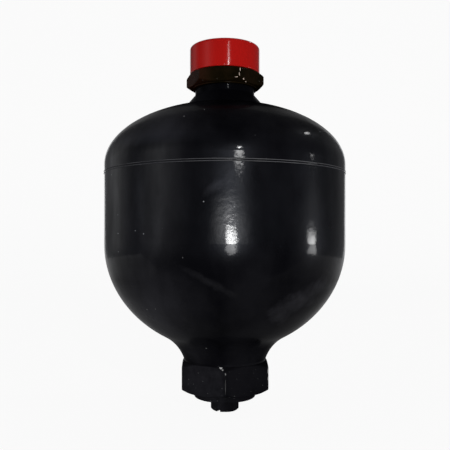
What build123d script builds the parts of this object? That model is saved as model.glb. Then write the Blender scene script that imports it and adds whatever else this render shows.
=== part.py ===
from build123d import *
import math
import os

# Bladder accumulator, gas side up. Origin: centre of the fluid port's end face. +Z: towards the gas side.
# All lengths in millimetres, all angles in degrees. Radii are written R, widths across flats AF.

# --- pressure shell -------------------------------------------------------------------------------
SHELL_R = 58.0            # outer radius of the straight stretch
WALL = 4.5                # shell wall
LOWER_DOME_H = 51.6       # height of the deep lower dome, elliptical
UPPER_DOME_H = 30.5       # height of the flat upper dome, elliptical
STRAIGHT_H = 37.25        # straight stretch between the two domes
WELD_DROP = 3.7           # girth weld's middle, below the start of the upper dome
WELD_W = 1.3              # weld bead's width at the outside
WELD_ROOT_W = 0.5         # and at the inside
WELD_PROUD = 0.25         # how far the bead stands out of the shell

LOWER_NECK_R = 20.0       # neck that takes the port body
LOWER_NECK_H = 1.0        # its straight stretch above the port body's hexagon
LOWER_NECK_DEPTH = 4.9    # from the neck's end face to the lower dome's apex
NECK_SWEEP_R = 20.0       # hollow radius that runs the neck into the dome
LOWER_BORE_H = 14.0       # from the neck's end face to the flat inside the shell
PORT_THREAD_R = 15.0      # bore for the port body

UPPER_NECK_R = 14.4       # neck that takes the valve stem
UPPER_NECK_RISE = 7.25    # from the upper dome's apex to the neck's end face
UPPER_NECK_H = 2.9        # its straight stretch
FLARE_R = 19.6            # foot of the cone between the neck and the dome
SEAT_DROP = 1.55          # flat inside the upper dome, below the apex of the inner wall

# --- fluid port -----------------------------------------------------------------------------------
HEX_AF = 41.0             # port body's hexagon
HEX_H = 14.0
HEX_TURN = 31.0           # turn of the hexagon about the axis, in degrees
HEX_CHAMFER = 30.0        # slope of the turned chamfers on hexagons
PORT_PROUD = 2.5          # port body's end, above the flat inside the shell
PLUG_THREAD_R = 10.5      # threaded port for the line, closed by the plug
PLUG_THREAD_H = 9.5
PORT_BORE_R = 9.3         # flow bore behind the thread
PORT_MOUTH = 0.8          # chamfer at the port's mouth
WEB_Z = 19.5              # underside of the web that guides the poppet
WEB_H = 3.0
FLOW_HOLES = 6
FLOW_HOLE_R = 1.6
FLOW_PITCH_R = 7.5        # radius of the circle of flow holes
VALVE_SEAT_H = 2.0        # height of the 45 degree valve seat
GROOVE_Z = 22.0           # lower edge of the port body's seal groove
GROOVE_DEPTH = 2.0
GROOVE_O_RING_H = 2.4     # room for the O-ring in the groove
BACKUP_H = 1.2            # back-up ring below the O-ring

BUSH_WALL = 1.5
BUSH_FLANGE_R = 5.6
BUSH_FLANGE_H = 1.0
POPPET_STEM_R = 2.95
POPPET_LIFT = 5.0         # open poppet, above its seat
POPPET_HUB_R = 6.5        # flat under the head, where the spring bears
POPPET_CONE_DROP = 0.4    # flat of the hub, below the cone's start
POPPET_RIM_R = 12.4
POPPET_RIM_LIP = 1.0      # flat under the rim, outside the cone
POPPET_RIM_H = 1.2
POPPET_CROWN_H = 2.2
POPPET_THREAD_R = 2.5
POPPET_THREAD_L = 5.5
LOCK_AF = 8.0             # lock nut on the poppet's stem
LOCK_H = 4.0
SPRING_WIRE_R = 0.45
SPRING_MEAN_R = 4.6
SPRING_TURNS = 3.5

PLUG_SHANK_H = 8.0        # plug's thread, above the port's face
PLUG_FLANGE_R = 14.9
PLUG_FLANGE_H = 2.9
PLUG_FLANGE_FILLET = 0.8
PLUG_HEAD_AF = 12.0
PLUG_HEAD_H = 6.4
PLUG_SLOT_W = 2.0
PLUG_SLOT_DEPTH = 1.5
PLUG_SLOT_TURN = 60.0     # direction of the slot, across two corners of the head
PLUG_SEAL_R = 14.0
PLUG_SEAL_H = 1.0

# --- bladder and valve stem -----------------------------------------------------------------------
BLADDER_GAP = 9.5         # free space between the shell and the unpressurised bladder
BLADDER_WALL = 2.5
BLADDER_TOP_H = 24.0      # height of the bladder's upper dome
BLADDER_FOOT_GAP = 5.0    # between the bladder's round bottom and the open poppet
BLADDER_PAD_R = 8.0       # inner edge of the rubber that is bonded to the stem's foot
BLADDER_PAD_EDGE = 0.6    # rubber on the edge of the foot
STEM_R = 11.0             # threaded stem
STEM_GAS_R = 2.5          # gas passage
FOOT_R = 17.0             # foot that the bladder is moulded to
FOOT_H = 3.5
FOOT_GROOVE_R = 13.0      # inner radius of the foot's seal groove
FOOT_GROOVE_W = 2.2
FOOT_GROOVE_DEPTH = 1.5
STEM_PROUD = 3.2          # stem's end, above the lock nut
STEM_SOCKET_R = 8.0       # thread for the gas valve
STEM_SOCKET_H = 7.6
NUT_AF = 33.3
NUT_H = 7.5
NUT_TURN = 51.5           # turn of the lock nut about the axis, in degrees
NUT_FACE_R = 15.8         # round washer face under the nut
NUT_FACE_H = 0.6

# --- gas valve ------------------------------------------------------------------------------------
HEAD_R = 14.0             # threaded head for the charging tool
HEAD_GAP = 0.6            # between the head and the lock nut
HEAD_TOP_H = 4.0          # solid part of the head, above the stem's end
HEAD_CHAMFER = 0.8
VALVE_SHANK_H = 7.0
SHANK_SEAL_H = 1.4        # seal groove on the valve's shank
SHANK_SEAL_DEPTH = 1.0
NIPPLE_R = 4.8
NIPPLE_H = 2.0
CORE_R = 2.5
CORE_L = 9.0
CORE_DROP = 0.2           # core's end, below the nipple's end
CORE_SHOULDER_H = 1.5
CORE_CAVITY_R = 1.6       # room for the valve spring
PIN_R = 0.82
PIN_HEAD_R = 1.4
PIN_HEAD_H = 0.8
PIN_DROP = 0.4            # pin's end, below the core's end
PIN_FOOT_H = 0.8          # pin's end, below its seal disc
DISC_R = 2.0              # seal disc on the pin
DISC_H = 1.0
DISC_BORE_R = 2.6         # chamber round the disc
VALVE_WIRE_R = 0.15
VALVE_SPRING_R = 1.18
VALVE_SPRING_TURNS = 5.5
SEAL_CAP_AF = 13.0
SEAL_CAP_ROOF = 1.3
GASKET_R_IN = 2.9
GASKET_H = 0.7

# --- protective cap -------------------------------------------------------------------------------
CAP_R = 17.0
CAP_WALL = 1.5
CAP_ROOF = 1.6
CAP_GAP = 0.4             # inside of the roof, above the seal cap
CAP_FILLET = 1.6
CAP_RIBS = 12
CAP_RIB_W = 1.2
CAP_RIB_TOP_GAP = 1.2     # ribs end below the roof by this much

# --- clearances -----------------------------------------------------------------------------------
THREAD_CLEAR = 0.10       # radial, between a thread's two halves
RUN_CLEAR = 0.05          # radial, where a part slides
PRESS_CLEAR = 0.02        # radial, where a part is pressed in
SEAL_CLEAR = 0.03         # round a seal in its groove
SEAT_CLEAR = 0.2          # axial, between the closed poppet's cone and its seat
CAP_CLEAR = 0.12          # radial, between the cap's ribs and the head

# --- heights worked out from the sizes above ------------------------------------------------------
NECK_END_Z = HEX_H
LOWER_APEX_Z = NECK_END_Z + LOWER_NECK_DEPTH
LOWER_TANGENT_Z = LOWER_APEX_Z + LOWER_DOME_H
UPPER_TANGENT_Z = LOWER_TANGENT_Z + STRAIGHT_H
UPPER_APEX_Z = UPPER_TANGENT_Z + UPPER_DOME_H
WELD_Z = UPPER_TANGENT_Z - WELD_DROP
INNER_R = SHELL_R - WALL
PORT_SEAT_Z = NECK_END_Z + LOWER_BORE_H
PORT_TOP_Z = PORT_SEAT_Z + PORT_PROUD
STEM_SEAT_Z = UPPER_APEX_Z - WALL - SEAT_DROP
NUT_Z = UPPER_APEX_Z + UPPER_NECK_RISE
NUT_TOP_Z = NUT_Z + NUT_H
STEM_TOP_Z = NUT_TOP_Z + STEM_PROUD
HEAD_TOP_Z = STEM_TOP_Z + HEAD_TOP_H
NIPPLE_TOP_Z = HEAD_TOP_Z + NIPPLE_H
SEAL_CAP_TOP_Z = NIPPLE_TOP_Z + GASKET_H + SEAL_CAP_ROOF
CAP_TOP_Z = SEAL_CAP_TOP_Z + CAP_GAP + CAP_ROOF
BUSH_R = POPPET_STEM_R + RUN_CLEAR + BUSH_WALL
SPRING_FOOT_Z = WEB_Z + WEB_H + BUSH_FLANGE_H
SEAT_BOTTOM_Z = PORT_TOP_Z - VALVE_SEAT_H
POPPET_CONE_Z = SEAT_BOTTOM_Z + SEAT_CLEAR + POPPET_LIFT
POPPET_HUB_Z = POPPET_CONE_Z - POPPET_CONE_DROP
POPPET_RIM_Z = POPPET_CONE_Z + POPPET_RIM_R - POPPET_RIM_LIP - PORT_BORE_R
POPPET_TOP_Z = POPPET_RIM_Z + POPPET_RIM_H + POPPET_CROWN_H
CORE_TOP_Z = NIPPLE_TOP_Z - CORE_DROP
CORE_FOOT_Z = CORE_TOP_Z - CORE_L
PIN_TOP_Z = CORE_TOP_Z - PIN_DROP


# --- helpers --------------------------------------------------------------------------------------
def turned(*edges):
    """Solid turned about Z from a closed chain of edges, each given as (radius, height)."""
    return revolve(Plane.XZ * make_face(edges), Axis.Z)


def turned_polygon(*points):
    return turned(*Polyline(*points, close=True).edges())


def tube(r_in, r_out, z0, z1):
    return turned_polygon((r_in, z0), (r_out, z0), (r_out, z1), (r_in, z1))


def rod(r, z0, z1):
    return Pos(0, 0, z0) * Cylinder(r, z1 - z0, align=(Align.CENTER, Align.CENTER, Align.MIN))


def o_ring(r_in, r_out, z_middle):
    section = (r_out - r_in) / 2
    return Pos(0, 0, z_middle) * Torus((r_in + r_out) / 2, section)


def hexagon(af, z0, z1, turn, bottom=True, top=True):
    """Hexagonal prism whose corners are turned off at the chosen ends."""
    height = z1 - z0
    corner_r = af / math.sqrt(3)
    drop = (corner_r - af / 2) * math.tan(math.radians(HEX_CHAMFER))
    prism = extrude(RegularPolygon(corner_r, 6, rotation=turn), height)
    low = drop if bottom else 0.0
    high = drop if top else 0.0
    outline = [(0, 0), (af / 2 if bottom else corner_r, 0), (corner_r, low)]
    outline += [(corner_r, height - high), (af / 2 if top else corner_r, height), (0, height)]
    points = [p for i, p in enumerate(outline) if p != outline[i - 1]]
    return Pos(0, 0, z0) * (prism & turned_polygon(*points))


def dome_z(r, radius, height, tangent_z):
    """Height at which an elliptical dome has the radius r. A negative height is a lower dome."""
    return tangent_z + height * math.sqrt(1 - (r / radius) ** 2)


def dome_r(z, radius, height, tangent_z):
    return radius * math.sqrt(1 - ((z - tangent_z) / height) ** 2)


def dome_arc(radius, height, tangent_z, r_end):
    """Arc of an elliptical dome, from its equator to the radius r_end."""
    angle = math.degrees(math.acos(r_end / radius))
    if height > 0:
        return EllipticalCenterArc((0, tangent_z), radius, height, start_angle=0, arc_size=angle)
    return EllipticalCenterArc((0, tangent_z), radius, -height, start_angle=-angle, arc_size=angle)


def arc_between(centre, radius, start, end):
    """The shorter circular arc about centre from start to end."""
    way = Vector(start) + Vector(end) - Vector(centre) * 2
    middle = Vector(centre) + way.normalized() * radius
    return ThreePointArc(start, middle, end)


def neck_sweep():
    """Centre and dome end of the hollow arc that leaves the neck's corner and runs tangent into the dome."""
    corner = Vector(LOWER_NECK_R, NECK_END_Z + LOWER_NECK_H)
    low = math.acos(LOWER_NECK_R / SHELL_R)
    high = 0.0
    for _ in range(60):
        angle = (low + high) / 2
        on_dome = Vector(SHELL_R * math.cos(angle), LOWER_TANGENT_Z - LOWER_DOME_H * math.sin(angle))
        outward = Vector(math.cos(angle) / SHELL_R, -math.sin(angle) / LOWER_DOME_H).normalized()
        centre = on_dome + outward * NECK_SWEEP_R
        if (centre - corner).length < NECK_SWEEP_R:
            low = angle
        else:
            high = angle
    return centre, on_dome


def coil(mean_r, wire_r, turns, z0, z1):
    """Compression spring with its ends ground flat."""
    height = z1 - z0
    path = Helix(height / turns, height, mean_r)
    start = path @ 0
    wire = sweep(Plane(start, z_dir=path % 0) * Circle(wire_r), path=path, is_frenet=True)
    return Pos(0, 0, z0) * (wire & rod(mean_r + 2 * wire_r, 0, height))


# --- pressure shell -------------------------------------------------------------------------------
def lower_shell():
    """Deep lower dome with the neck and the bore for the port body, up to the weld."""
    centre, on_dome = neck_sweep()
    corner = (LOWER_NECK_R, NECK_END_Z + LOWER_NECK_H)
    inner_h = LOWER_DOME_H - WALL
    flat_r = dome_r(PORT_SEAT_Z, INNER_R, inner_h, LOWER_TANGENT_Z)
    top_out = (SHELL_R, WELD_Z - WELD_W / 2)
    top_in = (INNER_R, WELD_Z - WELD_ROOT_W / 2)
    return turned(
        Line((PORT_THREAD_R, NECK_END_Z), (LOWER_NECK_R, NECK_END_Z)),
        Line((LOWER_NECK_R, NECK_END_Z), corner),
        arc_between(centre, NECK_SWEEP_R, corner, on_dome),
        dome_arc(SHELL_R, -LOWER_DOME_H, LOWER_TANGENT_Z, on_dome.X),
        Line((SHELL_R, LOWER_TANGENT_Z), top_out),
        Line(top_out, top_in),
        Line(top_in, (INNER_R, LOWER_TANGENT_Z)),
        dome_arc(INNER_R, -inner_h, LOWER_TANGENT_Z, flat_r),
        Line((flat_r, PORT_SEAT_Z), (PORT_THREAD_R, PORT_SEAT_Z)),
        Line((PORT_THREAD_R, PORT_SEAT_Z), (PORT_THREAD_R, NECK_END_Z)),
    )


def upper_shell():
    """Flat upper dome with the neck that the valve stem is drawn up against."""
    inner_h = UPPER_DOME_H - WALL
    flat_r = dome_r(STEM_SEAT_Z, INNER_R, inner_h, UPPER_TANGENT_Z)
    flare_z = dome_z(FLARE_R, SHELL_R, UPPER_DOME_H, UPPER_TANGENT_Z)
    bore = STEM_R + THREAD_CLEAR
    low_out = (SHELL_R, WELD_Z + WELD_W / 2)
    low_in = (INNER_R, WELD_Z + WELD_ROOT_W / 2)
    return turned(
        Line(low_in, low_out),
        Line(low_out, (SHELL_R, UPPER_TANGENT_Z)),
        dome_arc(SHELL_R, UPPER_DOME_H, UPPER_TANGENT_Z, FLARE_R),
        Line((FLARE_R, flare_z), (UPPER_NECK_R, NUT_Z - UPPER_NECK_H)),
        Line((UPPER_NECK_R, NUT_Z - UPPER_NECK_H), (UPPER_NECK_R, NUT_Z)),
        Line((UPPER_NECK_R, NUT_Z), (bore, NUT_Z)),
        Line((bore, NUT_Z), (bore, STEM_SEAT_Z)),
        Line((bore, STEM_SEAT_Z), (flat_r, STEM_SEAT_Z)),
        dome_arc(INNER_R, inner_h, UPPER_TANGENT_Z, flat_r),
        Line((INNER_R, UPPER_TANGENT_Z), low_in),
    )


def weld_seam():
    """Girth weld that fills the V between the two halves of the shell."""
    half = WELD_W / 2
    root = WELD_ROOT_W / 2
    return turned(
        Line((INNER_R, WELD_Z - root), (SHELL_R, WELD_Z - half)),
        ThreePointArc((SHELL_R, WELD_Z - half), (SHELL_R + WELD_PROUD, WELD_Z), (SHELL_R, WELD_Z + half)),
        Line((SHELL_R, WELD_Z + half), (INNER_R, WELD_Z + root)),
        Line((INNER_R, WELD_Z + root), (INNER_R, WELD_Z - root)),
    )


# --- bladder and valve stem -----------------------------------------------------------------------
def bladder():
    """Rubber bladder in its moulded shape, bonded to the underside of the stem's foot."""
    radius = INNER_R - BLADDER_GAP
    inner_r = radius - BLADDER_WALL
    foot_z = STEM_SEAT_Z - FOOT_H
    top_inner_h = BLADDER_TOP_H - BLADDER_WALL
    rim = math.sqrt(1 - (FOOT_R / radius) ** 2)
    shoulder_z = foot_z + BLADDER_PAD_EDGE - BLADDER_TOP_H * rim
    low_z = POPPET_TOP_Z + BLADDER_FOOT_GAP + radius
    pad_z = dome_z(BLADDER_PAD_R, inner_r, top_inner_h, shoulder_z)
    return turned(
        Line((FOOT_R, foot_z), (FOOT_R, foot_z + BLADDER_PAD_EDGE)),
        dome_arc(radius, BLADDER_TOP_H, shoulder_z, FOOT_R),
        Line((radius, shoulder_z), (radius, low_z)),
        arc_between((0, low_z), radius, (radius, low_z), (0, low_z - radius)),
        Line((0, low_z - radius), (0, low_z - inner_r)),
        arc_between((0, low_z), inner_r, (0, low_z - inner_r), (inner_r, low_z)),
        Line((inner_r, low_z), (inner_r, shoulder_z)),
        dome_arc(inner_r, top_inner_h, shoulder_z, BLADDER_PAD_R),
        Line((BLADDER_PAD_R, pad_z), (BLADDER_PAD_R, foot_z)),
        Line((BLADDER_PAD_R, foot_z), (FOOT_R, foot_z)),
    )


def valve_stem():
    """Threaded stem with the foot that the bladder is moulded to and the gas passage."""
    foot_z = STEM_SEAT_Z - FOOT_H
    groove_out = FOOT_GROOVE_R + FOOT_GROOVE_W
    stem = rod(FOOT_R, foot_z, STEM_SEAT_Z) + rod(STEM_R, STEM_SEAT_Z, STEM_TOP_Z)
    stem -= rod(STEM_GAS_R, foot_z, STEM_TOP_Z)
    stem -= rod(STEM_SOCKET_R, STEM_TOP_Z - STEM_SOCKET_H, STEM_TOP_Z)
    return stem - tube(FOOT_GROOVE_R, groove_out, STEM_SEAT_Z - FOOT_GROOVE_DEPTH, STEM_SEAT_Z)


def stem_o_ring():
    """Seal between the stem's foot and the flat inside the shell."""
    section = FOOT_GROOVE_DEPTH / 2 - SEAL_CLEAR
    middle = FOOT_GROOVE_R + FOOT_GROOVE_W / 2
    return o_ring(middle - section, middle + section, STEM_SEAT_Z - FOOT_GROOVE_DEPTH / 2)


def lock_nut():
    """Thin hexagon nut that draws the stem up against the shell."""
    body = hexagon(NUT_AF, NUT_Z + NUT_FACE_H, NUT_TOP_Z, NUT_TURN)
    body += rod(NUT_FACE_R, NUT_Z, NUT_Z + NUT_FACE_H)
    return body - rod(STEM_R + THREAD_CLEAR, NUT_Z, NUT_TOP_Z)


# --- gas valve ------------------------------------------------------------------------------------
def valve_body():
    """Threaded head for the charging tool, screwed into the stem, with the nipple for the seal cap."""
    shank_r = STEM_SOCKET_R - THREAD_CLEAR
    foot_z = STEM_TOP_Z - VALVE_SHANK_H
    recess_r = STEM_R + THREAD_CLEAR
    skirt_z = NUT_TOP_Z + HEAD_GAP
    groove_z = STEM_TOP_Z - SHANK_SEAL_H
    body = turned_polygon(
        (0, foot_z), (shank_r, foot_z), (shank_r, groove_z),
        (shank_r - SHANK_SEAL_DEPTH, groove_z), (shank_r - SHANK_SEAL_DEPTH, STEM_TOP_Z),
        (recess_r, STEM_TOP_Z), (recess_r, skirt_z), (HEAD_R - HEAD_CHAMFER, skirt_z),
        (HEAD_R, skirt_z + HEAD_CHAMFER), (HEAD_R, HEAD_TOP_Z - HEAD_CHAMFER),
        (HEAD_R - HEAD_CHAMFER, HEAD_TOP_Z), (NIPPLE_R, HEAD_TOP_Z), (NIPPLE_R, NIPPLE_TOP_Z),
        (0, NIPPLE_TOP_Z))
    body -= rod(CORE_R + THREAD_CLEAR, CORE_FOOT_Z, NIPPLE_TOP_Z)
    return body - rod(DISC_BORE_R, foot_z, CORE_FOOT_Z)


def valve_body_o_ring():
    """Seal between the valve's shank and the stem's socket."""
    groove_r = STEM_SOCKET_R - THREAD_CLEAR - SHANK_SEAL_DEPTH
    middle_z = STEM_TOP_Z - SHANK_SEAL_H / 2
    return o_ring(groove_r + SEAL_CLEAR, STEM_SOCKET_R - SEAL_CLEAR, middle_z)


def valve_core():
    """Barrel of the check valve, screwed into the valve body."""
    barrel = rod(CORE_R, CORE_FOOT_Z, CORE_TOP_Z)
    barrel -= rod(PIN_R + RUN_CLEAR, CORE_FOOT_Z, CORE_TOP_Z)
    return barrel - rod(CORE_CAVITY_R, CORE_FOOT_Z + CORE_SHOULDER_H, CORE_TOP_Z)


def valve_pin():
    """Pin of the check valve, with the head that the spring lifts."""
    foot_z = CORE_FOOT_Z - DISC_H - PIN_FOOT_H
    return rod(PIN_R, foot_z, PIN_TOP_Z) + rod(PIN_HEAD_R, PIN_TOP_Z - PIN_HEAD_H, PIN_TOP_Z)


def valve_disc():
    """Seal disc on the pin, held up against the barrel's end."""
    return tube(PIN_R, DISC_R, CORE_FOOT_Z - DISC_H, CORE_FOOT_Z)


def valve_spring():
    """Spring between the barrel's shoulder and the pin's head."""
    return coil(VALVE_SPRING_R, VALVE_WIRE_R, VALVE_SPRING_TURNS,
                CORE_FOOT_Z + CORE_SHOULDER_H, PIN_TOP_Z - PIN_HEAD_H)


def seal_cap():
    """Hexagonal cap that closes the valve's nipple."""
    cap = hexagon(SEAL_CAP_AF, HEAD_TOP_Z + SEAL_CLEAR, SEAL_CAP_TOP_Z, NUT_TURN, bottom=False)
    return cap - rod(NIPPLE_R + THREAD_CLEAR, HEAD_TOP_Z, NIPPLE_TOP_Z + GASKET_H)


def seal_cap_gasket():
    """Flat gasket between the nipple's end and the seal cap."""
    return tube(GASKET_R_IN, NIPPLE_R, NIPPLE_TOP_Z, NIPPLE_TOP_Z + GASKET_H)


def protective_cap():
    """Plastic cap pushed over the gas valve, with ribs that grip its thread."""
    inner_r = CAP_R - CAP_WALL
    roof_z = CAP_TOP_Z - CAP_ROOF
    cap = rod(CAP_R, NUT_TOP_Z, CAP_TOP_Z)
    cap = fillet(cap.edges().group_by(Axis.Z)[-1], CAP_FILLET)
    cap -= rod(inner_r, NUT_TOP_Z, roof_z)
    rib_r = HEAD_R + CAP_CLEAR
    depth = inner_r - rib_r
    rib_h = roof_z - CAP_RIB_TOP_GAP - NUT_TOP_Z
    rib = Box(depth + CAP_WALL / 2, CAP_RIB_W, rib_h, align=(Align.MIN, Align.CENTER, Align.MIN))
    return cap + PolarLocations(rib_r, CAP_RIBS) * (Pos(0, 0, NUT_TOP_Z) * rib)


# --- fluid port -----------------------------------------------------------------------------------
def port_body():
    """Hexagon port screwed into the neck: line thread, poppet guide web, flow holes and valve seat."""
    shank_r = PORT_THREAD_R - THREAD_CLEAR
    body = hexagon(HEX_AF, 0, HEX_H, HEX_TURN) + rod(shank_r, HEX_H, PORT_TOP_Z)
    groove_r = shank_r - GROOVE_DEPTH
    body -= tube(groove_r, PORT_THREAD_R, GROOVE_Z, GROOVE_Z + BACKUP_H + GROOVE_O_RING_H)
    body -= turned_polygon((0, 0), (PLUG_THREAD_R + PORT_MOUTH, 0), (PLUG_THREAD_R, PORT_MOUTH),
                           (PLUG_THREAD_R, PLUG_THREAD_H), (PORT_BORE_R, PLUG_THREAD_H),
                           (PORT_BORE_R, WEB_Z), (0, WEB_Z))
    body -= turned_polygon((0, WEB_Z + WEB_H), (PORT_BORE_R, WEB_Z + WEB_H), (PORT_BORE_R, SEAT_BOTTOM_Z),
                           (PORT_BORE_R + VALVE_SEAT_H, PORT_TOP_Z), (0, PORT_TOP_Z))
    body -= rod(BUSH_R + PRESS_CLEAR, WEB_Z, WEB_Z + WEB_H)
    return body - PolarLocations(FLOW_PITCH_R, FLOW_HOLES) * rod(FLOW_HOLE_R, WEB_Z, WEB_Z + WEB_H)


def port_backup_ring():
    """Hard ring that keeps the port's O-ring from being squeezed out."""
    groove_r = PORT_THREAD_R - THREAD_CLEAR - GROOVE_DEPTH
    return tube(groove_r + SEAL_CLEAR, PORT_THREAD_R - SEAL_CLEAR, GROOVE_Z, GROOVE_Z + BACKUP_H)


def port_o_ring():
    """Seal between the port body and the neck's bore."""
    groove_r = PORT_THREAD_R - THREAD_CLEAR - GROOVE_DEPTH
    section = (PORT_THREAD_R - groove_r) / 2 - SEAL_CLEAR
    middle_z = GROOVE_Z + BACKUP_H + section + SEAL_CLEAR
    return o_ring(groove_r + SEAL_CLEAR, PORT_THREAD_R - SEAL_CLEAR, middle_z)


def guide_bush():
    """Flanged bush in the web, in which the poppet's stem slides."""
    bush = rod(BUSH_R, WEB_Z, WEB_Z + WEB_H) + rod(BUSH_FLANGE_R, WEB_Z + WEB_H, SPRING_FOOT_Z)
    return bush - rod(POPPET_STEM_R + RUN_CLEAR, WEB_Z, SPRING_FOOT_Z)


def poppet():
    """Mushroom poppet, held open by its spring, that the bladder closes when the fluid is gone."""
    cone_r = PORT_BORE_R
    crown_z = POPPET_RIM_Z + POPPET_RIM_H
    crown_r = (POPPET_RIM_R ** 2 + POPPET_CROWN_H ** 2) / (2 * POPPET_CROWN_H)
    crown_centre_z = POPPET_TOP_Z - crown_r
    thread_end_z = WEB_Z - POPPET_THREAD_L
    return turned(
        Line((0, thread_end_z), (POPPET_THREAD_R, thread_end_z)),
        Line((POPPET_THREAD_R, thread_end_z), (POPPET_THREAD_R, WEB_Z)),
        Line((POPPET_THREAD_R, WEB_Z), (POPPET_STEM_R, WEB_Z)),
        Line((POPPET_STEM_R, WEB_Z), (POPPET_STEM_R, POPPET_HUB_Z)),
        Line((POPPET_STEM_R, POPPET_HUB_Z), (POPPET_HUB_R, POPPET_HUB_Z)),
        Line((POPPET_HUB_R, POPPET_HUB_Z), (cone_r, POPPET_CONE_Z)),
        Line((cone_r, POPPET_CONE_Z), (POPPET_RIM_R - POPPET_RIM_LIP, POPPET_RIM_Z)),
        Line((POPPET_RIM_R - POPPET_RIM_LIP, POPPET_RIM_Z), (POPPET_RIM_R, POPPET_RIM_Z)),
        Line((POPPET_RIM_R, POPPET_RIM_Z), (POPPET_RIM_R, crown_z)),
        arc_between((0, crown_centre_z), crown_r, (POPPET_RIM_R, crown_z), (0, POPPET_TOP_Z)),
        Line((0, POPPET_TOP_Z), (0, thread_end_z)),
    )


def poppet_lock_nut():
    """Nut that stops the poppet's stem against the guide."""
    nut = hexagon(LOCK_AF, WEB_Z - LOCK_H, WEB_Z, HEX_TURN, top=False)
    return nut - rod(POPPET_THREAD_R + PRESS_CLEAR, WEB_Z - LOCK_H, WEB_Z)


def poppet_spring():
    """Spring that holds the poppet open."""
    return coil(SPRING_MEAN_R, SPRING_WIRE_R, SPRING_TURNS, SPRING_FOOT_Z, POPPET_HUB_Z)


def shipping_plug():
    """Threaded plug that closes the port, with a flange and a slotted hexagon head."""
    shank_r = PLUG_THREAD_R - THREAD_CLEAR
    flange_z = -PLUG_SEAL_H - PLUG_FLANGE_H
    head_z = flange_z - PLUG_HEAD_H
    flange = rod(PLUG_FLANGE_R, flange_z, -PLUG_SEAL_H)
    flange = fillet(flange.edges().group_by(Axis.Z)[0], PLUG_FLANGE_FILLET)
    plug = flange + rod(shank_r, -PLUG_SEAL_H, PLUG_SHANK_H)
    plug += hexagon(PLUG_HEAD_AF, head_z, flange_z, 0.0, bottom=True, top=False)
    slot = Box(2 * PLUG_HEAD_AF, PLUG_SLOT_W, PLUG_SLOT_DEPTH, align=(Align.CENTER, Align.CENTER, Align.MIN))
    return plug - Pos(0, 0, head_z) * (Rot(0, 0, PLUG_SLOT_TURN) * slot)


def plug_seal():
    """Flat seal between the plug's flange and the port's face."""
    return tube(PLUG_THREAD_R + THREAD_CLEAR, PLUG_SEAL_R, -PLUG_SEAL_H, 0)


PARTS = [
    lower_shell, upper_shell, weld_seam,
    bladder, valve_stem, stem_o_ring, lock_nut,
    valve_body, valve_body_o_ring, valve_core, valve_pin, valve_disc, valve_spring,
    seal_cap, seal_cap_gasket, protective_cap,
    port_body, port_backup_ring, port_o_ring, guide_bush,
    poppet, poppet_lock_nut, poppet_spring, shipping_plug, plug_seal,
]

os.makedirs("parts", exist_ok=True)
for make in PARTS:
    export_step(make(), f"parts/{make.__name__}.step")
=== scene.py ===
import math
import bmesh
import bpy
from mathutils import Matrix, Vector, noise


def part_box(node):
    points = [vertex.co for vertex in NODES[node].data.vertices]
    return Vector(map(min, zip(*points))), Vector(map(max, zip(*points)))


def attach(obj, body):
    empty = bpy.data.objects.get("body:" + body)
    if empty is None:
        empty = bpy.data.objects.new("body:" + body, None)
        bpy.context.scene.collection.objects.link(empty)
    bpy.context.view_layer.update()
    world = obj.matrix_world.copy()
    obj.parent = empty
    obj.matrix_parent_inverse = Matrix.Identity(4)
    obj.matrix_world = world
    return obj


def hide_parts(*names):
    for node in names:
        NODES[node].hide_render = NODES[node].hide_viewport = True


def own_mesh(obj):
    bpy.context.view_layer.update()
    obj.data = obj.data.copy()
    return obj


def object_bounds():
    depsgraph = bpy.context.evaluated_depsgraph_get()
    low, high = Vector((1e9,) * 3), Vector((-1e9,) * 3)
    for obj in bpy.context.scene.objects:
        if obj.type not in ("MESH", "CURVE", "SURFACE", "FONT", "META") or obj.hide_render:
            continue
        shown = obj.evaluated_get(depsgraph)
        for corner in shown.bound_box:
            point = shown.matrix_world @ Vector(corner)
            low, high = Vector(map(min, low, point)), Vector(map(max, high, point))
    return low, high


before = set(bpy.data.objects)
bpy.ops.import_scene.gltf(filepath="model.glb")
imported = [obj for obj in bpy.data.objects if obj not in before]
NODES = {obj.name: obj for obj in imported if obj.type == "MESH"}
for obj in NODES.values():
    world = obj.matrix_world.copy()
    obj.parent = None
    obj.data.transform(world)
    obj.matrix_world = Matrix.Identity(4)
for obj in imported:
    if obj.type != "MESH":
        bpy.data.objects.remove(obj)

CAD_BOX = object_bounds()
TAU = 2 * math.pi


# --- meshes ---------------------------------------------------------------------------------------
def new_object(name, mesh):
    obj = bpy.data.objects.new(name, mesh)
    bpy.context.scene.collection.objects.link(obj)
    return obj


def shade_smooth(mesh, angle=35.0):
    mesh.polygons.foreach_set("use_smooth", [True] * len(mesh.polygons))
    mesh.set_sharp_from_angle(angle=math.radians(angle))


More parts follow.
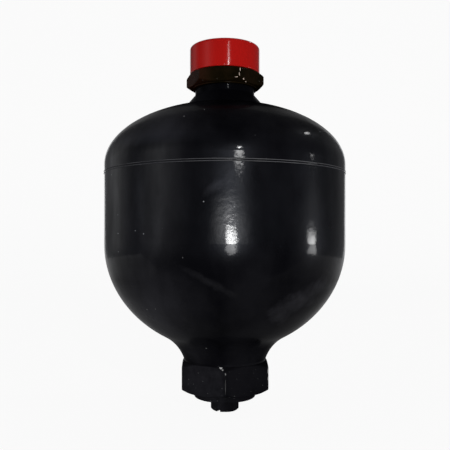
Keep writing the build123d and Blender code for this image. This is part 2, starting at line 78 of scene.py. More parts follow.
def spun(name, rings, segments=256, closed=True):
    """Mesh of rings about Z. Each ring is (radius or function of the angle, height or function of the angle).
    A ring of radius 0 is a pole. closed joins the last ring to the first, as a piece with a hole needs."""
    bm = bmesh.new()
    loops = []
    for radius, height in rings:
        if radius == 0:
            loops.append([bm.verts.new((0, 0, height))])
            continue
        loop = []
        for i in range(segments):
            a = TAU * i / segments
            r = radius(a) if callable(radius) else radius
            z = height(a) if callable(height) else height
            loop.append(bm.verts.new((r * math.cos(a), r * math.sin(a), z)))
        loops.append(loop)
    pairs = list(zip(loops, loops[1:]))
    if closed:
        pairs.append((loops[-1], loops[0]))
    for low, high in pairs:
        for i in range(segments):
            j = (i + 1) % segments
            if len(low) == 1 and len(high) > 1:
                bm.faces.new((low[0], high[j], high[i]))
            elif len(high) == 1 and len(low) > 1:
                bm.faces.new((low[i], low[j], high[0]))
            elif len(low) > 1:
                bm.faces.new((low[i], low[j], high[j], high[i]))
    bmesh.ops.recalc_face_normals(bm, faces=bm.faces)
    mesh = bpy.data.meshes.new(name)
    bm.to_mesh(mesh)
    bm.free()
    shade_smooth(mesh)
    return new_object(name, mesh)


def arc(centre, radius, start, end, steps):
    """Points of a circular arc, angles in degrees, as (r, z)."""
    return ellipse(centre, radius, radius, start, end, steps)


def ellipse(centre, a, b, start, end, steps):
    angles = [math.radians(start + (end - start) * i / steps) for i in range(steps + 1)]
    return [(centre[0] + a * math.cos(t), centre[1] + b * math.sin(t)) for t in angles]


def soft_min(a, b, width):
    """The smaller of two values, blended over width where they cross, so that an edge is rounded."""
    gap = max(width - abs(a - b), 0.0) / width
    return min(a, b) - gap * gap * width / 4


def hexagon_rings(af, z0, z1, turn, edge, chamfer_low=True, chamfer_high=True, steps=26):
    """Rings of a hexagonal prism, af across flats and turned by turn degrees, with its edges rounded over about
    edge and turned 30 degree chamfers."""
    flat = af / 2
    slope = 1 / math.tan(math.radians(30))
    rings = []
    for i in range(steps + 1):
        s = i / steps
        z = z0 + (z1 - z0) * (0.5 - 0.5 * math.cos(math.pi * s))

        def radius(a, z=z):
            local = (a - math.radians(turn)) % (TAU / 6) - TAU / 12
            r = flat / math.cos(local)
            r = soft_min(r, af / math.sqrt(3), edge)
            if chamfer_low:
                r = soft_min(r, flat + (z - z0) * slope, edge)
            if chamfer_high:
                r = soft_min(r, flat + (z1 - z) * slope, edge)
            return r
        rings.append((radius, z))
    return rings


def welded_copy(node, name):
    """New mesh object with the CAD node's shape, its doubled vertices merged."""
    mesh = NODES[node].data.copy()
    bm = bmesh.new()
    bm.from_mesh(mesh)
    bmesh.ops.remove_doubles(bm, verts=bm.verts, dist=1e-7)
    bm.to_mesh(mesh)
    bm.free()
    mesh.materials.clear()
    return new_object(name, mesh)


def keep_inside(obj, form):
    """Cuts obj down to what lies inside form, and removes form."""
    cut = obj.modifiers.new("form", "BOOLEAN")
    cut.operation = "INTERSECT"
    cut.solver = "EXACT"
    cut.object = form
    graph = bpy.context.evaluated_depsgraph_get()
    mesh = bpy.data.meshes.new_from_object(obj.evaluated_get(graph))
    obj.modifiers.clear()
    obj.data = mesh
    bpy.data.objects.remove(form)
    shade_smooth(mesh, 28.0)


# --- materials ------------------------------------------------------------------------------------
def shader(name, color, roughness, specular=0.5, metallic=0.0):
    mat = bpy.data.materials.new(name)
    mat.use_nodes = True
    tree = mat.node_tree
    bsdf = tree.nodes["Principled BSDF"]
    bsdf.inputs["Base Color"].default_value = (*color, 1)
    bsdf.inputs["Roughness"].default_value = roughness
    bsdf.inputs["Specular IOR Level"].default_value = specular
    bsdf.inputs["Metallic"].default_value = metallic
    return mat, tree, bsdf


def link(tree, a, b):
    tree.links.new(a, b)


def object_noise(tree, scale, detail=4.0, rough=0.5, stretch=(1, 1, 1)):
    coords = tree.nodes.new("ShaderNodeTexCoord")
    mapping = tree.nodes.new("ShaderNodeMapping")
    mapping.inputs["Scale"].default_value = stretch
    link(tree, coords.outputs["Object"], mapping.inputs["Vector"])
    tex = tree.nodes.new("ShaderNodeTexNoise")
    tex.inputs["Scale"].default_value = scale
    tex.inputs["Detail"].default_value = detail
    tex.inputs["Roughness"].default_value = rough
    link(tree, mapping.outputs["Vector"], tex.inputs["Vector"])
    return tex.outputs["Fac"]


def mapped(tree, value, low_in, high_in, low, high):
    node = tree.nodes.new("ShaderNodeMapRange")
    node.inputs["From Min"].default_value = low_in
    node.inputs["From Max"].default_value = high_in
    node.inputs["To Min"].default_value = low
    node.inputs["To Max"].default_value = high
    link(tree, value, node.inputs["Value"])
    return node.outputs["Result"]


def math_node(tree, operation, a, b=0.0):
    node = tree.nodes.new("ShaderNodeMath")
    node.operation = operation
    for socket, value in zip(node.inputs, (a, b)):
        if isinstance(value, (int, float)):
            socket.default_value = value
        else:
            link(tree, value, socket)
    return node.outputs["Value"]


def mixed(tree, factor, a, b):
    node = tree.nodes.new("ShaderNodeMix")
    node.data_type = "RGBA"
    if isinstance(factor, (int, float)):
        node.inputs["Factor"].default_value = factor
    else:
        link(tree, factor, node.inputs["Factor"])
    for socket, value in ((node.inputs[6], a), (node.inputs[7], b)):
        if isinstance(value, tuple):
            socket.default_value = (*value, 1)
        else:
            link(tree, value, socket)
    return node.outputs[2]


def bump(tree, bsdf, layers):
    """Chain of bump layers, each (height, strength, distance)."""
    normal = None
    for height, strength, distance in layers:
        node = tree.nodes.new("ShaderNodeBump")
        node.inputs["Strength"].default_value = strength
        node.inputs["Distance"].default_value = distance
        link(tree, height, node.inputs["Height"])
        if normal is not None:
            link(tree, normal, node.inputs["Normal"])
        normal = node.outputs["Normal"]
    link(tree, normal, bsdf.inputs["Normal"])
    return normal


def dust_specks(tree, scale, size):
    """1 in a few scattered small specks, 0 elsewhere."""
    coords = tree.nodes.new("ShaderNodeTexCoord")
    cells = tree.nodes.new("ShaderNodeTexVoronoi")
    cells.inputs["Scale"].default_value = scale
    link(tree, coords.outputs["Object"], cells.inputs["Vector"])
    near = mapped(tree, cells.outputs["Distance"], size, size * 0.6, 0, 1)
    chosen = tree.nodes.new("ShaderNodeSeparateColor")
    link(tree, cells.outputs["Color"], chosen.inputs["Color"])
    few = math_node(tree, "GREATER_THAN", chosen.outputs[0], 0.84)
    return math_node(tree, "MULTIPLY", near, few)


def facing_up(tree, points):
    """Value that follows how far the surface faces up, through (height of the normal, value) points."""
    geometry = tree.nodes.new("ShaderNodeNewGeometry")
    parts = tree.nodes.new("ShaderNodeSeparateXYZ")
    link(tree, geometry.outputs["Normal"], parts.inputs["Vector"])
    ramp = tree.nodes.new("ShaderNodeValToRGB")
    stops = ramp.color_ramp.elements
    stops[0].position, stops[1].position = [(p[0] + 1) / 2 for p in (points[0], points[-1])]
    for height, value in points[1:-1]:
        stops.new((height + 1) / 2)
    for stop, (height, value) in zip(stops, points):
        stop.color = (value, value, value, 1)
    link(tree, mapped(tree, parts.outputs["Z"], -1, 1, 0, 1), ramp.inputs["Fac"])
    return ramp.outputs["Color"]


def chip_and_glint_spot(tree, centre, size):
    """1 inside a ragged spot about a point of the object, 0 outside."""
    coords = tree.nodes.new("ShaderNodeTexCoord")
    mapping = tree.nodes.new("ShaderNodeMapping")
    mapping.inputs["Location"].default_value = tuple(-c / s for c, s in zip(centre, size))
    mapping.inputs["Scale"].default_value = tuple(1 / s for s in size)
    link(tree, coords.outputs["Object"], mapping.inputs["Vector"])
    reach = tree.nodes.new("ShaderNodeVectorMath")
    reach.operation = "LENGTH"
    link(tree, mapping.outputs["Vector"], reach.inputs[0])
    ragged = math_node(tree, "ADD", reach.outputs["Value"], object_noise(tree, 900, 3, 0.7))
    return mapped(tree, ragged, 1.38, 1.28, 0, 1)


def soft_streak(tree, centre, size, tilt):
    """Soft stretched spot about a point of the object, turned about Y by tilt degrees: 1 in the middle, 0 outside."""
    coords = tree.nodes.new("ShaderNodeTexCoord")
    mapping = tree.nodes.new("ShaderNodeMapping")
    mapping.vector_type = "TEXTURE"
    mapping.inputs["Location"].default_value = centre
    mapping.inputs["Rotation"].default_value = (0, math.radians(-tilt), 0)
    mapping.inputs["Scale"].default_value = size
    link(tree, coords.outputs["Object"], mapping.inputs["Vector"])
    reach = tree.nodes.new("ShaderNodeVectorMath")
    reach.operation = "LENGTH"
    link(tree, mapping.outputs["Vector"], reach.inputs[0])
    ragged = mapped(tree, object_noise(tree, 110, 4, 0.7), 0, 1, 0.0, 2.4)
    ragged = math_node(tree, "ADD", reach.outputs["Value"], ragged)
    return mapped(tree, ragged, 2.1, 1.0, 0, 1)


def object_axis(tree, axis):
    coords = tree.nodes.new("ShaderNodeTexCoord")
    parts = tree.nodes.new("ShaderNodeSeparateXYZ")
    link(tree, coords.outputs["Object"], parts.inputs["Vector"])
    return parts.outputs[axis]


# (height of the surface's normal, value): a painted haze of light from the left, mixed with dust, lies on slopes that
# face up and down, gloss is fullest on the wall
HAZE_AND_DUST_BY_SLOPE = [(-1, 1), (-0.55, 1), (-0.20, 0.15), (0.20, 0.10), (0.45, 1.0), (1, 1)]
SHEEN_BY_SLOPE = [(-1, 0.003), (-0.35, 0.007), (0.0, 0.036), (0.25, 0.032), (0.60, 0.008), (0.90, 0.0)]
COAT_BY_SLOPE = [(-1, 0.03), (-0.35, 0.08), (-0.14, 0.35), (-0.05, 1.0), (0.35, 1.0), (0.60, 0.35), (0.80, 0.05),
                 (1, 0)]
# heights between which the paint turns dry, and what is left of the gloss there
LOWER_NECK_DRY = (0.022, 0.038, 0.08)
UPPER_NECK_DRY = (0.1290, 0.1350, 0.10)
COAT_ROUGHNESS = 0.060
COAT_IOR = 1.19


def black_paint(name="gloss_black_enamel", tint=(0.0010, 0.0010, 0.0015), streak_color=(0.0045, 0.0045, 0.0055), gloss=1.0,
                chips_and_glints=(), left_painted_light=0.0, painted_reflections=(), haze_and_dust_color=(0.017, 0.017, 0.020)):
    """Sprayed black enamel: full gloss on the wall, dry on the two necks, duller on the slopes above and below,
    with painted reflection streaks, a painted haze of light from the left mixed with dust, orange peel, uneven gloss
    and a few specks. chips: (centre, size, lightness) of light spots, chipped paint with painted highlights on
    arrises.
    smears: (centre, size, tilt, lightness) of painted reflections. grubby: lightness of painted light on the left of
    a small piece."""
    mat, tree, bsdf = shader(name, tint, 0.30)
    bsdf.inputs["Specular Tint"].default_value = (0.86, 0.90, 1.0, 1)
    # painted reflection streaks: the base colour mottled lighter in soft upright streaks
    bend = object_noise(tree, 30, 3, 0.6)
    streak_noise = object_noise(tree, 26, 6, 0.65, (1, 1, 0.35))
    painted_streaks = math_node(tree, "MULTIPLY", streak_noise, math_node(tree, "ADD", bend, 0.55))
    color = mixed(tree, mapped(tree, painted_streaks, 0.44, 0.72, 0.0, 0.8), tint, streak_color)
    # painted haze of light from the left, mixed with dust, on the slopes of the left side
    haze_and_dust = facing_up(tree, HAZE_AND_DUST_BY_SLOPE)
    haze_and_dust = math_node(tree, "MULTIPLY", haze_and_dust, mapped(tree, object_axis(tree, "X"), -0.002, -0.030, 0.0, 1.0))
    haze_and_dust = math_node(tree, "MULTIPLY", haze_and_dust, mapped(tree, streak_noise, 0.30, 0.62, 0.25, 1.0))
    color = mixed(tree, haze_and_dust, color, haze_and_dust_color)
    # painted reflections: soft lighter streaks
    for centre, size, tilt, light in painted_reflections:
        color = mixed(tree, soft_streak(tree, centre, size, tilt), color, (light, light, light * 1.15))
    # painted light: the left of a small piece is lighter, as light from the left falls on it; the specks are dust
    if left_painted_light:
        side = mapped(tree, object_axis(tree, "X"), 0.0008, -0.0020, 0.05, 1.0)
        cloud = mapped(tree, object_noise(tree, 300, 5, 0.7), 0.30, 0.70, 0.35, 1.0)
        color = mixed(tree, math_node(tree, "MULTIPLY", side, cloud), color, (left_painted_light, left_painted_light, left_painted_light * 1.2))
        color = mixed(tree, dust_specks(tree, 900, 0.16), color, (0.10, 0.10, 0.10))
    color = mixed(tree, dust_specks(tree, 240, 0.085), color, (0.14, 0.14, 0.14))
    # light spots: chipped paint together with painted highlights on arrises
    for centre, size, light in chips_and_glints:
        color = mixed(tree, chip_and_glint_spot(tree, centre, size), color, (light, light, light))
    link(tree, color, bsdf.inputs["Base Color"])
    patches = object_noise(tree, 60, 4, 0.6)
    link(tree, mapped(tree, patches, 0.3, 0.7, 0.26, 0.38), bsdf.inputs["Roughness"])
    height = object_axis(tree, "Z")
    low_z, high_z, left = LOWER_NECK_DRY
    lower = mapped(tree, height, low_z, high_z, left * gloss, gloss)
    low_z, high_z, left = UPPER_NECK_DRY
    dry = math_node(tree, "MULTIPLY", lower, mapped(tree, height, low_z, high_z, 1.0, left))
    sheen = facing_up(tree, SHEEN_BY_SLOPE)
    link(tree, math_node(tree, "MULTIPLY", sheen, dry), bsdf.inputs["Specular IOR Level"])
    coat = facing_up(tree, COAT_BY_SLOPE)
    uneven = mapped(tree, object_noise(tree, 75, 4, 0.6, (1, 1, 0.3)), 0.35, 0.62, 0.35, 1.0)
    coat = math_node(tree, "MULTIPLY", math_node(tree, "MULTIPLY", coat, dry), uneven)
    link(tree, coat, bsdf.inputs["Coat Weight"])
    bsdf.inputs["Coat Roughness"].default_value = COAT_ROUGHNESS
    bsdf.inputs["Coat IOR"].default_value = COAT_IOR
    bsdf.inputs["Coat Tint"].default_value = (0.9, 0.93, 1.0, 1)
    peel = object_noise(tree, 420, 3, 0.6)
    waves = object_noise(tree, 150, 2, 0.5)
    grit = object_noise(tree, 1900, 2, 0.6)
    normal = bump(tree, bsdf, [(waves, 0.13, 0.00030), (peel, 0.32, 0.00008), (grit, 0.35, 0.00002)])
    link(tree, normal, bsdf.inputs["Coat Normal"])
    return mat


def red_plastic():
    """Smooth moulded red cap: even colour with faint flow marks and a little scuffing."""
    mat, tree, bsdf = shader("moulded_red_plastic", (0.255, 0.0046, 0.0036), 0.12, specular=0.10)
    cloud = object_noise(tree, 60, 3, 0.5)
    color = mixed(tree, mapped(tree, cloud, 0.3, 0.7, 0, 1), (0.24, 0.0042, 0.0033), (0.27, 0.0050, 0.0039))
    link(tree, color, bsdf.inputs["Base Color"])
    scuff = object_noise(tree, 260, 5, 0.7)
    link(tree, mapped(tree, scuff, 0.35, 0.75, 0.10, 0.17), bsdf.inputs["Roughness"])
    bump(tree, bsdf, [(object_noise(tree, 900, 2, 0.5), 0.06, 0.00004), (cloud, 0.1, 0.0002)])
    return mat


# (centre, size) of the light spots round one corner of the lock nut: painted glints on its arris and lower chamfer,
# partly rubbed-through paint
NUT_GLINTS_AND_CHIPS = (
    ((0.0071, -0.0177, 0.1512), (0.00022, 0.0010, 0.0012)),
    ((0.0067, -0.0175, 0.1488), (0.00025, 0.0010, 0.0008)),
    ((0.0054, -0.0172, 0.1475), (0.0008, 0.0010, 0.00026)),
    ((0.0088, -0.0157, 0.1471), (0.0004, 0.0012, 0.0004)),
    ((0.0099, -0.0142, 0.1462), (0.0004, 0.0012, 0.0003)))


def dark_nut_paint():
    """Thin dark paint over steel on the lock nut: brownish, uneven, painted lighter and browner on its left faces,
    with painted glints, partly rubbed-through paint, at one corner.
    """
    mat, tree, bsdf = shader("nut_paint_with_wear_and_painted_glints", (0.003, 0.0022, 0.0008), 0.22, specular=0.05)
    cloud = object_noise(tree, 140, 5, 0.65)
    color = mixed(tree, mapped(tree, cloud, 0.35, 0.7, 0, 1), (0.0024, 0.0019, 0.0006), (0.0065, 0.0036, 0.0014))
    # painted light: the left faces lighter and browner, as light from the left falls on them
    lit_left_side = mapped(tree, object_axis(tree, "X"), -0.006, -0.016, 0.0, 1.0)
    color = mixed(tree, lit_left_side, color, (0.017, 0.0058, 0.0034))
    gloss = facing_up(tree, [(-1, 0.0), (-0.30, 0.0), (-0.05, 0.014), (0.5, 0.016), (1, 0.012)])
    link(tree, gloss, bsdf.inputs["Specular IOR Level"])
    color = mixed(tree, dust_specks(tree, 600, 0.12), color, (0.09, 0.085, 0.075))
    # painted glints, partly rubbed-through paint, round one corner
    for centre, size in NUT_GLINTS_AND_CHIPS:
        color = mixed(tree, chip_and_glint_spot(tree, centre, size), color, (0.34, 0.27, 0.23))
    link(tree, color, bsdf.inputs["Base Color"])
    link(tree, mapped(tree, cloud, 0.3, 0.7, 0.15, 0.32), bsdf.inputs["Roughness"])
    bump(tree, bsdf, [(cloud, 0.5, 0.00025), (object_noise(tree, 900, 3, 0.5), 0.4, 0.00006)])
    return mat


def turned_metal(name, color, roughness=0.3, lines=2600.0):
    """Turned metal: fine rings round the axis, small stains."""
    mat, tree, bsdf = shader(name, color, roughness, metallic=1.0)
    rings = object_noise(tree, lines, 2, 0.6, (0.02, 0.02, 1))
    stains = object_noise(tree, 220, 4, 0.6)
    dull = tuple(c * 0.72 for c in color)
    link(tree, mixed(tree, mapped(tree, stains, 0.45, 0.75, 0, 0.8), color, dull), bsdf.inputs["Base Color"])
    link(tree, mapped(tree, stains, 0.3, 0.7, roughness - 0.08, roughness + 0.1), bsdf.inputs["Roughness"])
    bump(tree, bsdf, [(rings, 0.25, 0.00003)])
    return mat


def moulded_rubber():
    mat, tree, bsdf = shader("black_rubber", (0.012, 0.012, 0.012), 0.62, specular=0.35)
    bloom = object_noise(tree, 90, 5, 0.65)
    link(tree, mixed(tree, mapped(tree, bloom, 0.4, 0.75, 0, 1), (0.010, 0.010, 0.010), (0.03, 0.03, 0.029)),
         bsdf.inputs["Base Color"])
    bump(tree, bsdf, [(object_noise(tree, 1800, 3, 0.6), 0.3, 0.00005)])
    return mat


def waxy_white():
    mat, tree, bsdf = shader("white_ptfe", (0.72, 0.72, 0.69), 0.45, specular=0.35)
    cloud = object_noise(tree, 500, 3, 0.5)
    link(tree, mixed(tree, cloud, (0.68, 0.68, 0.65), (0.78, 0.78, 0.75)), bsdf.inputs["Base Color"])
    return mat


# --- pieces ---------------------------------------------------------------------------------------
def lay_finish(obj, mat, body):
    obj.data.materials.clear()
    obj.data.materials.append(mat)
    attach(obj, body)


def paint_node(node, mat):
    obj = NODES[node]
    if not obj.material_slots:
        obj.data.materials.append(mat)
    for s in obj.material_slots:
        s.material = mat


def rounded_hex_piece(name, node, forms, mat):
    """CAD node cut down to a form with rounded edges, which it is everywhere a hair larger than."""
    piece = welded_copy(node, name)
    form = spun(name + "_form", forms, segments=360, closed=False)
    keep_inside(piece, form)
    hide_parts(node)
    lay_finish(piece, mat, "shell")
    return piece


# painted reflections on the shell: soft light streaks on the lower right, below and above the front highlight, and on
# the left
BLACK = black_paint(painted_reflections=(
    ((0.032, -0.036, 0.0465), (0.024, 0.040, 0.0055), 32, 0.014),
    ((-0.0071, -0.050, 0.0557), (0.014, 0.030, 0.0022), -28, 0.009),
    ((-0.0020, -0.056, 0.0950), (0.011, 0.030, 0.0026), 38, 0.013),
    ((-0.0290, -0.048, 0.0700), (0.024, 0.030, 0.0036), 82, 0.009),
    ((-0.0350, -0.045, 0.0880), (0.022, 0.030, 0.0030), 93, 0.009)))
# port hex and plug: painted light on their left faces
DULL_BLACK = black_paint("dry_sprayed_enamel", gloss=0.3, left_painted_light=0.009, chips_and_glints=(
    # light spots round the hex's front corner and right edge: chipped paint together with painted highlights on those
    # arrises
    ((-0.0018, -0.0205, 0.0139), (0.0008, 0.0020, 0.0007), 0.42),
    ((-0.0010, -0.0212, 0.0130), (0.0005, 0.0020, 0.0004), 0.25),
    ((0.0003, -0.0236, 0.0115), (0.0003, 0.0010, 0.0007), 0.12),
    # faint strip down the front arris: a painted highlight
    ((0.0003, -0.0236, 0.0060), (0.00022, 0.0010, 0.0040), 0.030),
    ((0.0206, -0.0116, 0.0105), (0.0006, 0.0008, 0.0022), 0.15),
    ((0.0206, -0.0116, 0.0070), (0.0005, 0.0007, 0.0015), 0.15)))
# lighter enamel for the weld bead's two ridges: paint worn thin together with a painted highlight along them
THIN_BLACK = black_paint("enamel_worn_thin_with_painted_highlight", (0.045, 0.045, 0.048), (0.09, 0.09, 0.09))
NUT_PAINT = dark_nut_paint()
RED = red_plastic()
RUBBER = moulded_rubber()
WHITE = waxy_white()
ZINC = turned_metal("zinc_plated_steel", (0.50, 0.49, 0.46), 0.30)
STEEL = turned_metal("ground_steel", (0.56, 0.56, 0.55), 0.20)
BRASS = turned_metal("turned_brass", (0.62, 0.42, 0.16), 0.24)
BRONZE = turned_metal("sintered_bronze", (0.42, 0.24, 0.11), 0.38)

low_shell, high_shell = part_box("lower_shell"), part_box("upper_shell")
SHELL_R = high_shell[1][0]
NUT_LOW, NUT_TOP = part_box("lock_nut")[0][2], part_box("lock_nut")[1][2]
NUT_AF = 0.0333
SEAL_CAP_AF = 0.0130
PORT_AF = 0.0410
PLUG_AF = 0.0120
NUT_TURN, PORT_TURN = 51.5, 31.0    # degrees about Z
STEM_BORE = 0.0111
NUT_EDGE = 0.0006


# girth weld: a low bead with a fine toe line along each side, a little uneven
def weld_bead():
    low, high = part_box("weld_seam")[0][2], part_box("weld_seam")[1][2]
    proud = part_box("weld_seam")[1][0]
    middle, half = (low + high) / 2, (high - low) / 2

    def wave(amount, seed):
        return lambda a: amount * noise.noise(Vector((9 * math.cos(a), 9 * math.sin(a), seed)))

    def r(base, seed, amount=0.00002):
        w = wave(amount, seed)
        return lambda a: min(base + w(a), proud)

    def z(base, seed, amount=0.00004):
        w = wave(amount, seed)
        return lambda a: min(max(middle + base + w(a), low), high)
    rings = [
        (0.0535, low + 0.0004), (SHELL_R - 0.0003, low + 0.00005),
        (r(SHELL_R - 0.00004, 1), z(-half, 2)),
        (r(SHELL_R + 0.00015, 3), z(-0.90 * half, 4)),
        (r(SHELL_R + 0.00019, 5), z(-0.74 * half, 6)),
        (r(SHELL_R + 0.00010, 7), z(-0.50 * half, 8)),
        (r(SHELL_R + 0.00004, 9), z(-0.15 * half, 10)),
        (r(SHELL_R + 0.00004, 11), z(0.20 * half, 12)),
        (r(SHELL_R + 0.00009, 13), z(0.50 * half, 14)),
        (r(SHELL_R + 0.00018, 15), z(0.76 * half, 16)),
        (r(SHELL_R + 0.00014, 17), z(0.90 * half, 18)),
        (r(SHELL_R - 0.00004, 19), z(half, 20)),
        (SHELL_R - 0.0003, high - 0.00005), (0.0535, high - 0.0004),
    ]
    piece = spun("weld_bead", rings, segments=720)
    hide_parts("weld_seam")
    lay_finish(piece, BLACK, "shell")
    # the bead's two ridges take the lighter enamel, partly a painted highlight
    piece.data.materials.append(THIN_BLACK)
    for face in piece.data.polygons:
        reaches = [math.hypot(*piece.data.vertices[v].co.xy) for v in face.vertices]
        if min(reaches) > SHELL_R + 0.00008 or max(reaches) > SHELL_R + 0.00016:
            face.material_index = 1


# lock nut: turned chamfers, washer face, rounded arrises; its paint carries painted glints, partly rubbed-through
# paint, at one corner
def nut():
    face_top = NUT_LOW + 0.0006
    rings = [(STEM_BORE, NUT_LOW), (0.0157, NUT_LOW), (0.0158, NUT_LOW + 0.0001), (0.0158, face_top)]
    rings += hexagon_rings(NUT_AF, face_top, NUT_TOP, NUT_TURN, NUT_EDGE)
    rings += [(0.0121, NUT_TOP), (STEM_BORE, NUT_TOP - 0.0009)]
    piece = spun("nut", rings, segments=720)
    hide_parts("lock_nut")
    lay_finish(piece, NUT_PAINT, "shell")


# gas valve's head with its charging thread
def gas_valve():
    low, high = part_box("valve_body")[0][2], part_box("valve_body")[1][2]
    head_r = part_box("valve_body")[1][0]
    head_top = high - 0.0020
    stem_top = head_top - 0.0040
    skirt = head_top - 0.0066
    pitch, depth = 0.0015, 0.00085
    bore, shank, groove_r = 0.0026, 0.0079, 0.0069
    rings = [(bore, low), (shank, low), (shank, stem_top - 0.0014), (groove_r, stem_top - 0.0014),
             (groove_r, stem_top), (STEM_BORE, stem_top), (STEM_BORE, skirt), (head_r - 0.0009, skirt)]
    steps = 84
    for i in range(steps + 1):
        z = skirt + (head_top - skirt) * i / steps

        def radius(a, z=z):
            turn = (z - skirt) / pitch - a / TAU
            crest = abs((turn % 1.0) - 0.5) * 2
            groove = min(max((crest - 0.08) / 0.78, 0.0), 1.0)
            end = min(z - skirt, head_top - z)
            return min(head_r - depth * (1 - groove), head_r - 0.0009 + end)
        rings.append((radius, z))
    rings += [(0.0056, head_top), (0.0050, head_top + 0.00008), (0.0047, head_top + 0.0004),
              (0.0048, head_top + 0.0005), (0.0048, high - 0.0003), (0.0045, high), (bore, high)]
    piece = spun("charging_head", rings, segments=288)
    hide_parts("valve_body")
    lay_finish(piece, ZINC, "shell")


# hexagonal seal cap with a rounded crown
def small_cap():
    low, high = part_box("seal_cap")[0][2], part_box("seal_cap")[1][2]
    bore_top = high - 0.0013
    rings = [(0, bore_top), (0.0049, bore_top), (0.0049, low + 0.0003), (0.0052, low)]
    rings += hexagon_rings(SEAL_CAP_AF, low, high, NUT_TURN, 0.0003, chamfer_low=False, steps=20)
    rings += [(0.0050, high), (0.0046, high - 0.00012), (0, high - 0.00012)]
    piece = spun("valve_cap", rings, segments=432, closed=False)
    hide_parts("seal_cap")
    lay_finish(piece, BRASS, "shell")


# protective cap: soft outer edges, grip ribs inside, gate mark in the middle of its roof
def red_cap():
    low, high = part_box("protective_cap")[0][2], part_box("protective_cap")[1][2]
    r_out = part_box("protective_cap")[1][0]
    r_in = r_out - 0.0015
    roof = high - 0.0016
    rib_r = 0.01412
    rib_top = roof - 0.0012

    def inside(ribbed):
        def radius(a):
            step = TAU / 12
            off = abs((a + step / 2) % step - step / 2) * rib_r
            side = min(max((0.0006 - off) / 0.00025, 0.0), 1.0)
            side = side * side * (3 - 2 * side)
            return r_in - (r_in - rib_r) * side * ribbed
        return radius
    outer = [(r_out - 0.0004, low)] + arc((r_out - 0.0004, low + 0.0004), 0.0004, -90, 0, 5)[1:]
    outer += [(r_out, low + 0.0005)] + [(r_out, low + (high - 0.0017 - low) * t) for t in (0.25, 0.5, 0.75)]
    outer += [(r_out, high - 0.0017)]
    outer += arc((r_out - 0.0016, high - 0.0016), 0.0016, 0, 90, 14)
    outer += [(0.0120, high), (0.0090, high - 0.00003), (0.0022, high - 0.00003), (0.0020, high - 0.0003),
              (0.0012, high - 0.0003), (0.0011, high - 0.00005), (0, high - 0.00005)]
    inner = [(0, roof), (r_in - 0.0006, roof)] + arc((r_in - 0.0006, roof - 0.0006), 0.0006, 90, 0, 5)[1:]
    inner += [(inside(0.0), rib_top + 0.0003), (inside(0.5), rib_top), (inside(1.0), rib_top - 0.0006)]
    inner += [(inside(1.0), rib_top - (rib_top - low) * t) for t in (0.3, 0.6, 0.8)]
    inner += [(inside(1.0), low + 0.0009), (inside(0.3), low + 0.0003), (inside(0.0), low)]
    rings = inner + outer
    piece = spun("push_on_cap", rings, segments=432, closed=False)
    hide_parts("protective_cap")
    lay_finish(piece, RED, "protective_cap")


# port body: the CAD piece with its hexagon's arrises rounded
def port():
    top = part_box("port_body")[1][2]
    form = [(0, -0.001), (0.012, -0.001), (0.0125, 0.0)]
    form += hexagon_rings(PORT_AF, 0.0, 0.014, PORT_TURN, 0.0007)
    form += [(0.0155, 0.01401), (0.0155, top + 0.001), (0, top + 0.001)]
    rounded_hex_piece("port_hex", "port_body", form, DULL_BLACK)


# shipping plug: rounded flange and head, slot kept from the CAD piece
def plug():
    low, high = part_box("shipping_plug")[0][2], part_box("shipping_plug")[1][2]
    flange_low, flange_top = -0.0039, -0.0010
    form = [(0, low)]
    form += hexagon_rings(PLUG_AF, low, flange_low, 0.0, 0.0005, chamfer_high=False, steps=18)
    form += [(0.0140, flange_low)] + arc((0.0141, flange_low + 0.0008), 0.0008, -90, 0, 8)[1:]
    form += arc((0.0146, flange_top - 0.0003), 0.0003, 0, 90, 4) + [(0.0120, flange_top + 0.00001)]
    form += [(0.0120, high - 0.0005), (0.0100, high + 0.00001), (0, high + 0.00001)]
    rounded_hex_piece("port_plug", "shipping_plug", form, DULL_BLACK)


# springs: smooth-shaded copies of the CAD coils, each with a mesh of its own
def spring(name, node):
    piece = welded_copy(node, name)
    shade_smooth(piece.data, 40.0)
    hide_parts(node)
    lay_finish(piece, STEEL, "shell")
    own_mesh(piece)


spring("poppet_coil", "poppet_spring")
spring("valve_coil", "valve_spring")
weld_bead()
nut()
gas_valve()
small_cap()
red_cap()
port()
plug()

FINISHES = {
    "lower_shell": BLACK, "upper_shell": BLACK,
    "bladder": RUBBER, "stem_o_ring": RUBBER, "valve_body_o_ring": RUBBER, "valve_disc": RUBBER,
    "seal_cap_gasket": RUBBER, "port_o_ring": RUBBER, "plug_seal": RUBBER,
    "port_backup_ring": WHITE, "valve_stem": ZINC, "valve_core": BRASS, "valve_pin": BRASS,
    "poppet": STEEL, "poppet_lock_nut": ZINC,
    "guide_bush": BRONZE,
}
for node, finish in FINISHES.items():
    paint_node(node, finish)


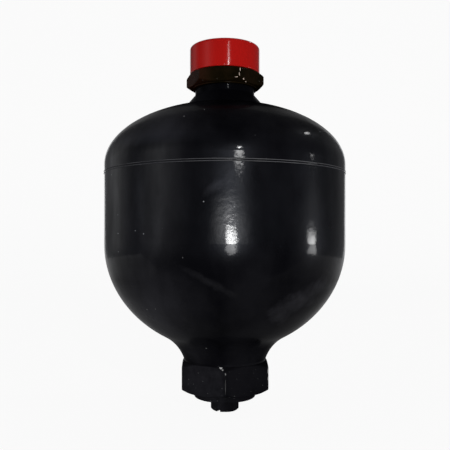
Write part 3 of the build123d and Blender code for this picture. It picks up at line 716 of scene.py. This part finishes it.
# --- floor, light, camera -------------------------------------------------------------------------
PAPER_WHITE = 0.93    # share of the paper's look that is plain white to the eye
WORLD_LIGHT = 0.14
LAMP_AIM = 0.075      # height that the lamps face
CAMERA_PLACE = (0.0, -0.305, 0.071)
LAMPS = (
    # name, azimuth, height, distance, width, height of the box, power, soft
    ("front_key", 5.4, 0.076, 1.0, 0.17, 0.034, 3.5, False),
    ("front_low", 5.4, -0.035, 1.0, 0.16, 0.200, 3.4, False),
    ("key_halo", 4.5, 0.095, 1.0, 0.72, 0.18, 1.5, True),
    ("front_upper", 12.5, 0.248, 1.0, 0.13, 0.040, 1.1, False),
    ("cap_light", 12.5, 0.412, 1.0, 0.055, 0.036, 1.7, False),
    ("cap_light_faint", 12.5, 0.468, 1.0, 0.050, 0.080, 0.14, False),
    ("side_key", 83, 0.072, 1.0, 0.19, 0.036, 1.2, False),
    ("side_low", 84, -0.045, 1.0, 0.20, 0.200, 1.8, False),
    ("side_upper", 84, 0.260, 1.0, 0.06, 0.030, 0.15, False),
    ("back_kicker", 112, 0.780, 0.72, 0.12, 0.050, 0.5, False),
    ("left_near", -58, 0.28, 1.0, 1.25, 1.8, 1.9, True),
    ("left_far", -112, 0.25, 0.9, 1.10, 1.3, 0.5, True),
)


def white_to_the_eye(tree, bsdf, share):
    """Adds white that only the camera, reflections and glass see, so that the lit surface shows through it."""
    path = tree.nodes.new("ShaderNodeLightPath")
    seen = math_node(tree, "MAXIMUM", path.outputs["Is Camera Ray"], path.outputs["Is Glossy Ray"])
    seen = math_node(tree, "MAXIMUM", seen, path.outputs["Is Transmission Ray"])
    white = tree.nodes.new("ShaderNodeEmission")
    white.inputs["Color"].default_value = (1, 1, 1, 1)
    white.inputs["Strength"].default_value = 1.0
    blend = tree.nodes.new("ShaderNodeMixShader")
    link(tree, math_node(tree, "MULTIPLY", seen, share), blend.inputs["Fac"])
    link(tree, bsdf.outputs["BSDF"], blend.inputs[1])
    link(tree, white.outputs["Emission"], blend.inputs[2])
    link(tree, blend.outputs["Shader"], tree.nodes["Material Output"].inputs["Surface"])


def paper_sweep():
    """Pale floor that curves up into a backdrop behind the object."""
    lowest = CAD_BOX[0][2] - 0.00002
    front, bend_start, bend, top, half = -0.12, 0.75, 0.35, 1.6, 0.55
    profile = [(front, 0.0), (bend_start, 0.0)] + arc((bend_start, bend), bend, -90, 0, 24)[1:]
    profile += [(bend_start + bend, top)]
    bm = bmesh.new()
    rows = [[bm.verts.new((x, y, lowest + z)) for x in (-half, half)] for y, z in profile]
    for low, high in zip(rows, rows[1:]):
        bm.faces.new((low[0], low[1], high[1], high[0]))
    mesh = bpy.data.meshes.new("paper_sweep")
    bm.to_mesh(mesh)
    bm.free()
    mesh.polygons.foreach_set("use_smooth", [True] * len(mesh.polygons))
    sweep = new_object("paper_sweep", mesh)
    mat, tree, bsdf = shader("pale_paper", (0.88, 0.88, 0.88), 0.9, specular=0.1)
    white_to_the_eye(tree, bsdf, PAPER_WHITE)
    mesh.materials.append(mat)


def studio_world():
    world = bpy.data.worlds.new("studio")
    bpy.context.scene.world = world
    world.use_nodes = True
    soft = world.node_tree.nodes["Background"]
    soft.inputs["Color"].default_value = (1, 1, 1, 1)
    soft.inputs["Strength"].default_value = WORLD_LIGHT


def lamp(name, azimuth, height, distance, width, tall, power, soft):
    """Box light that faces the object. Azimuth 0 is behind the camera, positive towards the camera's right.
    A soft one fades to nothing at its sides, and keeps its power: the fade's mean is 1 / 9."""
    data = bpy.data.lights.new(name, "AREA")
    data.shape = "RECTANGLE" if soft else "ELLIPSE"
    data.size = width
    data.size_y = tall
    data.energy = power
    if soft:
        data.use_nodes = True
        tree = data.node_tree
        place = tree.nodes.new("ShaderNodeNewGeometry")
        parts = tree.nodes.new("ShaderNodeSeparateXYZ")
        link(tree, place.outputs["Parametric"], parts.inputs["Vector"])
        fade = None
        for side in ("X", "Y"):
            off = math_node(tree, "SUBTRACT", parts.outputs[side], 0.5)
            near = mapped(tree, math_node(tree, "ABSOLUTE", off), 0.0, 0.5, 1.0, 0.0)
            near = math_node(tree, "MULTIPLY", near, near)
            fade = near if fade is None else math_node(tree, "MULTIPLY", fade, near)
        link(tree, math_node(tree, "MULTIPLY", fade, 9.0), tree.nodes["Emission"].inputs["Strength"])
    obj = new_object(name, data)
    a = math.radians(azimuth)
    obj.location = (distance * math.sin(a), -distance * math.cos(a), height)
    aim = Vector((0, 0, LAMP_AIM)) - obj.location
    obj.rotation_euler = aim.to_track_quat("-Z", "Y").to_euler()
    return obj


def studio_camera():
    data = bpy.data.cameras.new("camera")
    data.sensor_width = 36.0
    data.lens = 49.85
    data.shift_x = 0.0005
    data.shift_y = 0.0393
    data.clip_start = 0.01
    cam = new_object("camera", data)
    cam.location = CAMERA_PLACE
    cam.rotation_euler = (math.pi / 2, 0, 0)
    bpy.context.scene.camera = cam


paper_sweep()
studio_world()
for settings in LAMPS:
    lamp(*settings)
studio_camera()
view = bpy.context.scene.view_settings
view.view_transform = "Standard"
